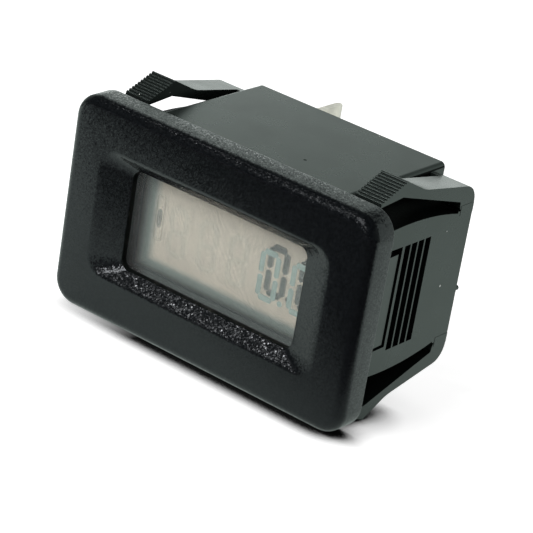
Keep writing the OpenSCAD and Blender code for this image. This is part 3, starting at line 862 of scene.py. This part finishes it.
class BuildDisplay(bpy.types.Operator):
    """Finishes the lens, glass and film, and lays the digits and their painted shadows"""

    bl_idname = "hour_meter.display"
    bl_label = "Display"

    # Segments of a digit: place across and up from its middle, and whether the segment lies level
    SEGMENTS = {
        "top": (0, 1, True),
        "middle": (0, 0, True),
        "bottom": (0, -1, True),
        "upper_left": (-1, 0.5, False),
        "upper_right": (1, 0.5, False),
        "lower_left": (-1, -0.5, False),
        "lower_right": (1, -0.5, False),
    }

    def execute(self, context):
        colours = context.scene.meter_finishes
        sizes = context.scene.meter_display
        glass = clear_sheet("display_glass", colours.glass, colours.glass_cover)
        coat(printed_lens(colours, context.scene.meter_bezel), "window_lens")
        coat(glass, "lcd_front_glass", "lcd_rear_glass")
        coat(cream_film(colours), "lcd_reflector")
        ink_y = REAR_GLASS_LOW.y + 2 * sizes.mark_thickness
        film_y = FILM_LOW.y - 2 * sizes.mark_thickness
        shift = (sizes.shadow_shift, sizes.shadow_lift)
        teal = segment_ink("teal_ink", colours.lit, colours.lit_cover)
        soft = segment_ink("shadow_ink", colours.shadow, colours.shadow_cover)
        self.digits("lit_digits", sizes, sizes.stroke, ink_y, (0, 0), teal)
        # The segments' shadows on the film are painted: soft offset layers of dark ink, since the marks cast
        # none
        for i in range(SHADOW_LAYERS):
            stroke = sizes.soft_stroke * (1 - SHADOW_TAPER * i / SHADOW_LAYERS)
            layer_y = film_y - 2 * i * sizes.mark_thickness
            self.digits(f"digit_shadows_{i + 1}", sizes, stroke, layer_y, shift, soft)
        self.ghosts(sizes, ink_y, segment_ink("ghost_ink", colours.lit, colours.unlit_cover))
        self.sign(sizes, ink_y, segment_ink("sign_ink", colours.shadow, colours.sign_cover))
        self.waist(sizes, ink_y, segment_ink("waist_ink", colours.shadow, colours.waist_cover))
        return {"FINISHED"}

    def digits(self, name, sizes, stroke, depth, shift, material):
        """The lit digits with their decimal point."""
        piece = start_piece(name)
        ring = [segment for segment in self.SEGMENTS if segment != "middle"]
        x, z = sizes.first_lit + shift[0], sizes.middle + shift[1]
        for i in range(LIT_DIGITS):
            self.digit(sizes, stroke, (x + i * sizes.digit_pitch, depth, z), ring)
        add_disc(16, stroke / 2, (x + sizes.point_side, depth, z - sizes.point_drop))
        self.close_marks(piece, sizes, material)

    def sign(self, sizes, depth, material):
        """Thin outline of the hourglass sign."""
        piece = start_piece("hourglass_sign")
        x, _, z = sizes.sign_place
        add_plate(sizes.sign_width, sizes.sign_height, (x, depth, z))
        bpy.ops.mesh.bevel(offset=2 * sizes.sign_line, segments=4, affect="VERTICES")
        bpy.ops.mesh.select_mode(type="FACE")
        bpy.ops.mesh.inset(thickness=sizes.sign_line)
        bpy.ops.mesh.delete(type="FACE")
        self.close_marks(piece, sizes, material)

    def waist(self, sizes, depth, material):
        """Dark waist of the hourglass sign."""
        piece = start_piece("hourglass_waist")
        x, _, z = sizes.sign_place
        centre = (x, depth, z)
        add_disc(24, 0.5, centre)
        bpy.ops.transform.resize(value=(sizes.waist_width, 1, sizes.waist_height), center_override=centre)
        self.close_marks(piece, sizes, material)

    def ghosts(self, sizes, depth, material):
        """Unlit digits, barely seen."""
        piece = start_piece("unlit_digits")
        for i in range(1, UNLIT_DIGITS + 1):
            centre = (sizes.first_lit - i * sizes.digit_pitch, depth, sizes.middle)
            self.digit(sizes, sizes.stroke, centre, self.SEGMENTS)
        self.close_marks(piece, sizes, material)

    def digit(self, sizes, stroke, middle, names):
        """Segments of one digit as bars with pointed ends, each pulled out of a hexagon."""
        x, depth, z = middle
        half_w = (sizes.digit_width - sizes.stroke) / 2
        half_h = (sizes.digit_height - sizes.stroke) / 2
        radius = stroke / math.sqrt(3)
        for name in names:
            across, up, level = self.SEGMENTS[name]
            reach = (2 * half_w if level else half_h) - 2 * sizes.gap
            centre = (x + across * half_w, depth, z + up * half_h)
            add_disc(6, radius, centre)
            turn = math.pi / 2 if level else 0
            bpy.ops.transform.rotate(value=turn, orient_axis="Y", center_override=centre)
            self.stretch(centre, reach / 2 - radius, 0 if level else 2)

    def stretch(self, centre, move, along):
        """Pulls the two halves of the new hexagon apart along an axis."""
        mesh = bpy.context.active_object.data
        shape = bmesh.from_edit_mesh(mesh)
        for vertex in shape.verts:
            if vertex.select:
                vertex.co[along] += math.copysign(move, vertex.co[along] - centre[along])
        bmesh.update_edit_mesh(mesh)

    def close_marks(self, piece, sizes, material):
        """Gives flat marks their thickness and their ink. They cast no shade of their own on the film."""
        bpy.ops.mesh.select_mode(type="VERT")
        face_outwards()
        bpy.ops.mesh.solidify(thickness=sizes.mark_thickness)
        face_outwards()
        dress(piece, material)
        close_piece(piece, "meter")
        piece.visible_shadow = False


class BuildInside(bpy.types.Operator):
    """Finishes the blades, the carrier, the board and its components"""

    bl_idname = "hour_meter.inside"
    bl_label = "Terminals and Inside"

    STRIPS = ("zebra_strip_upper", "zebra_strip_lower")
    CHIPS = ("timer_chip", "memory_chip", "rectifier_diodes")
    # Tint, roughness, grains to the metre, gloss and nodes of each moulded or coated finish
    MOULDED = {
        "strip_rubber": ((0.05, 0.05, 0.06), 0.7, 3000, 0.5, STRIPS),
        "chip_epoxy": ((0.03, 0.03, 0.032), 0.55, 5000, 0.5, CHIPS),
        "carrier_grey": ((0.05, 0.068, 0.064), 0.7, 1500, 0.05, ("display_carrier",)),
        "board_green": ((0.03, 0.14, 0.06), 0.4, 800, 0.5, ("circuit_board",)),
        "capacitor_sleeve": ((0.03, 0.035, 0.09), 0.3, 900, 0.5, ("smoothing_capacitor",)),
        "varistor_coat": ((0.05, 0.12, 0.35), 0.35, 1200, 0.5, ("surge_varistor",)),
        "resistor_coat": ((0.6, 0.5, 0.32), 0.5, 1500, 0.5, ("dropper_resistor",)),
    }

    def execute(self, context):
        blade = plated_metal("tinned_blade", context.scene.meter_finishes.blade, roughness=0.3)
        coat(blade, "terminal_left", "terminal_right")
        coat(plated_metal("crystal_can", (0.75, 0.76, 0.78), roughness=0.25), "quartz_crystal")
        for name, (tint, roughness, grain_scale, gloss, nodes) in self.MOULDED.items():
            coat(moulded(name, tint, roughness, grain_scale, gloss), *nodes)
        return {"FINISHED"}


class BuildStage(bpy.types.Operator):
    """Sets the floor, the light and the camera"""

    bl_idname = "hour_meter.stage"
    bl_label = "Stage"

    def execute(self, context):
        settings = context.scene.meter_stage
        colours = context.scene.meter_finishes
        self.floor(settings, colours)
        self.sky(settings, colours)
        self.lamps(settings)
        self.camera(context.scene, settings)
        context.scene.view_settings.view_transform = "Standard"
        context.scene.cycles.transparent_max_bounces = CLEAR_LAYERS
        return {"FINISHED"}

    def floor(self, settings, colours):
        """A wide pale floor under the bezel's lower edge and the lower legs."""
        touch = Vector((0, LOWER_LEG_LOW.y + settings.touch, LOWER_LEG_LOW.z - settings.floor_gap))
        bpy.ops.mesh.primitive_plane_add(
            size=settings.floor_size, location=touch, rotation=(settings.floor_tilt, 0, 0)
        )
        floor = bpy.context.active_object
        floor.name = "floor"
        floor.data.materials.append(self.pale_floor(settings, colours))

    def pale_floor(self, settings, colours):
        """The floor's finish, which glows where it is seen, except on its dim side and in shade."""
        material, tree, shader = finish("pale_floor")
        fill(shader, Roughness=0.9, Specular_IOR_Level=0.0)
        path = node(tree, "LightPath")
        direct, glossy = path.outputs["Is Camera Ray"], path.outputs["Is Glossy Ray"]
        dim = math_node(tree, "MULTIPLY", self.dim_side(tree, settings), glossy)
        shade = math_node(tree, "MULTIPLY", self.contact_shade(tree, settings), direct)

        pale, mirrored = tuple(colours.floor), tuple(colours.mirrored)
        tinted = mix_colours(tree, glossy, pale, tuple(p * m for p, m in zip(pale, mirrored)))
        tinted = mix_colours(tree, dim, tinted, scaled(pale, settings.front_glow))
        tone(tree, shader, shade, tinted, tuple(colours.floor_shade))
        fill(shader, Emission_Color=mix_colours(tree, glossy, (1, 1, 1), mirrored))

        seen = math_node(tree, "MULTIPLY", glossy, settings.mirror_glow)
        for ray in (direct, path.outputs["Is Transmission Ray"]):
            seen = math_node(tree, "MAXIMUM", seen, ray)
        glow = math_node(tree, "MULTIPLY", seen, settings.floor_glow)
        for darkening in (dim, shade):
            glow = math_node(tree, "MULTIPLY", glow, math_node(tree, "SUBTRACT", 1.0, darkening))
        fill(shader, Emission_Strength=glow)
        return material

    def dim_side(self, tree, settings):
        """A factor that grows towards the floor's dim side."""
        turned = node(tree, "Mapping", Vector=object_place(tree), Rotation=(0, 0, settings.dim_side))
        outward = part_of(tree, turned.outputs["Vector"], "X")
        return ramp(tree, outward, (settings.dim_start, settings.dim_end))

    def contact_shade(self, tree, settings):
        """A factor that grows where the part lies close over the floor."""
        around = node(tree, "AmbientOcclusion", {"samples": 8}, Distance=settings.contact).outputs["AO"]
        along = part_of(tree, object_place(tree), "X")
        near = ramp(tree, around, SHADE_RANGE, (1.0, 0.0))
        strength = ramp(tree, along, (settings.shade_start, settings.shade_full))
        return math_node(tree, "MULTIPLY", near, strength)

    def sky(self, settings, colours):
        """White surroundings, dimmer in front as light and reflection, and above in reflections."""
        world = bpy.data.worlds.new("surroundings")
        bpy.context.scene.world = world
        world.use_nodes = True
        tree = world.node_tree
        path = node(tree, "LightPath")
        glossy = path.outputs["Is Glossy Ray"]
        seen = math_node(tree, "MAXIMUM", path.outputs["Is Camera Ray"], path.outputs["Is Transmission Ray"])
        direction = node(tree, "TexCoord").outputs["Generated"]
        behind = ramp(tree, part_of(tree, direction, "Y"), SKY_FRONT, (settings.front_glow, 1.0))
        low = ramp(tree, part_of(tree, direction, "Z"), SKY_TOP, (1.0, settings.top_glow))
        level = ramp(tree, glossy, (0.0, 1.0), (settings.sky, low))
        light = math_node(tree, "MULTIPLY", behind, level)
        tint = mix_colours(tree, glossy, (1, 1, 1), tuple(colours.mirrored))
        strength = math_node(tree, "MAXIMUM", seen, light)
        fill(tree.nodes["Background"], Color=tint, Strength=strength)

    def lamps(self, settings):
        """A broad key lamp in front, a low strip behind and a small lamp above, turned to the origin."""
        for name, (position, width, height) in LAMPS.items():
            bpy.ops.object.light_add(type="AREA", location=position)
            lamp = bpy.context.active_object
            lamp.name = name + "_lamp"
            lamp.data.shape = "RECTANGLE"
            lamp.data.size = width
            lamp.data.size_y = height
            lamp.data.energy = getattr(settings, name)
            lamp.rotation_euler = (-Vector(position)).to_track_quat("-Z", "Y").to_euler()

    def camera(self, scene, settings):
        """The camera at the photograph's place."""
        bpy.ops.object.camera_add(location=settings.camera, rotation=settings.camera_turn)
        camera = bpy.context.active_object
        camera.data.lens = settings.lens
        camera.data.clip_start = NEAREST
        scene.camera = camera


PIECES = (BuildBezel, BuildHousing, BuildLegs, BuildDisplay, BuildInside, BuildStage)


class HourMeterPanel(bpy.types.Panel):
    """Sizes, colours and pieces of the hour meter"""

    bl_idname = "VIEW3D_PT_hour_meter"
    bl_label = "Hour Meter"
    bl_space_type = "VIEW_3D"
    bl_region_type = "UI"
    bl_category = "Hour Meter"

    def draw(self, context):
        scene = context.scene
        for group in (getattr(scene, key) for key in GROUPS):
            box = self.layout.box()
            for name in group.bl_rna.properties.keys():
                if name not in {"rna_type", "name"}:
                    box.prop(group, name)
        for piece in PIECES:
            self.layout.operator(piece.bl_idname)


GROUPS = {
    "meter_bezel": BezelSizes,
    "meter_housing": HousingSizes,
    "meter_display": DisplaySizes,
    "meter_finishes": Finishes,
    "meter_stage": StageSettings,
}


def register():
    for group in GROUPS.values():
        bpy.utils.register_class(group)
    for name, group in GROUPS.items():
        setattr(bpy.types.Scene, name, PointerProperty(type=group))
    for kind in (*PIECES, HourMeterPanel):
        bpy.utils.register_class(kind)


def unregister():
    for kind in (HourMeterPanel, *reversed(PIECES)):
        bpy.utils.unregister_class(kind)
    for name, group in reversed(GROUPS.items()):
        delattr(bpy.types.Scene, name)
        bpy.utils.unregister_class(group)


def main():
    register()
    bpy.ops.hour_meter.bezel()
    bpy.ops.hour_meter.housing()
    bpy.ops.hour_meter.legs()
    bpy.ops.hour_meter.display()
    bpy.ops.hour_meter.inside()
    bpy.ops.hour_meter.stage()


if __name__ == "__main__":
    main()
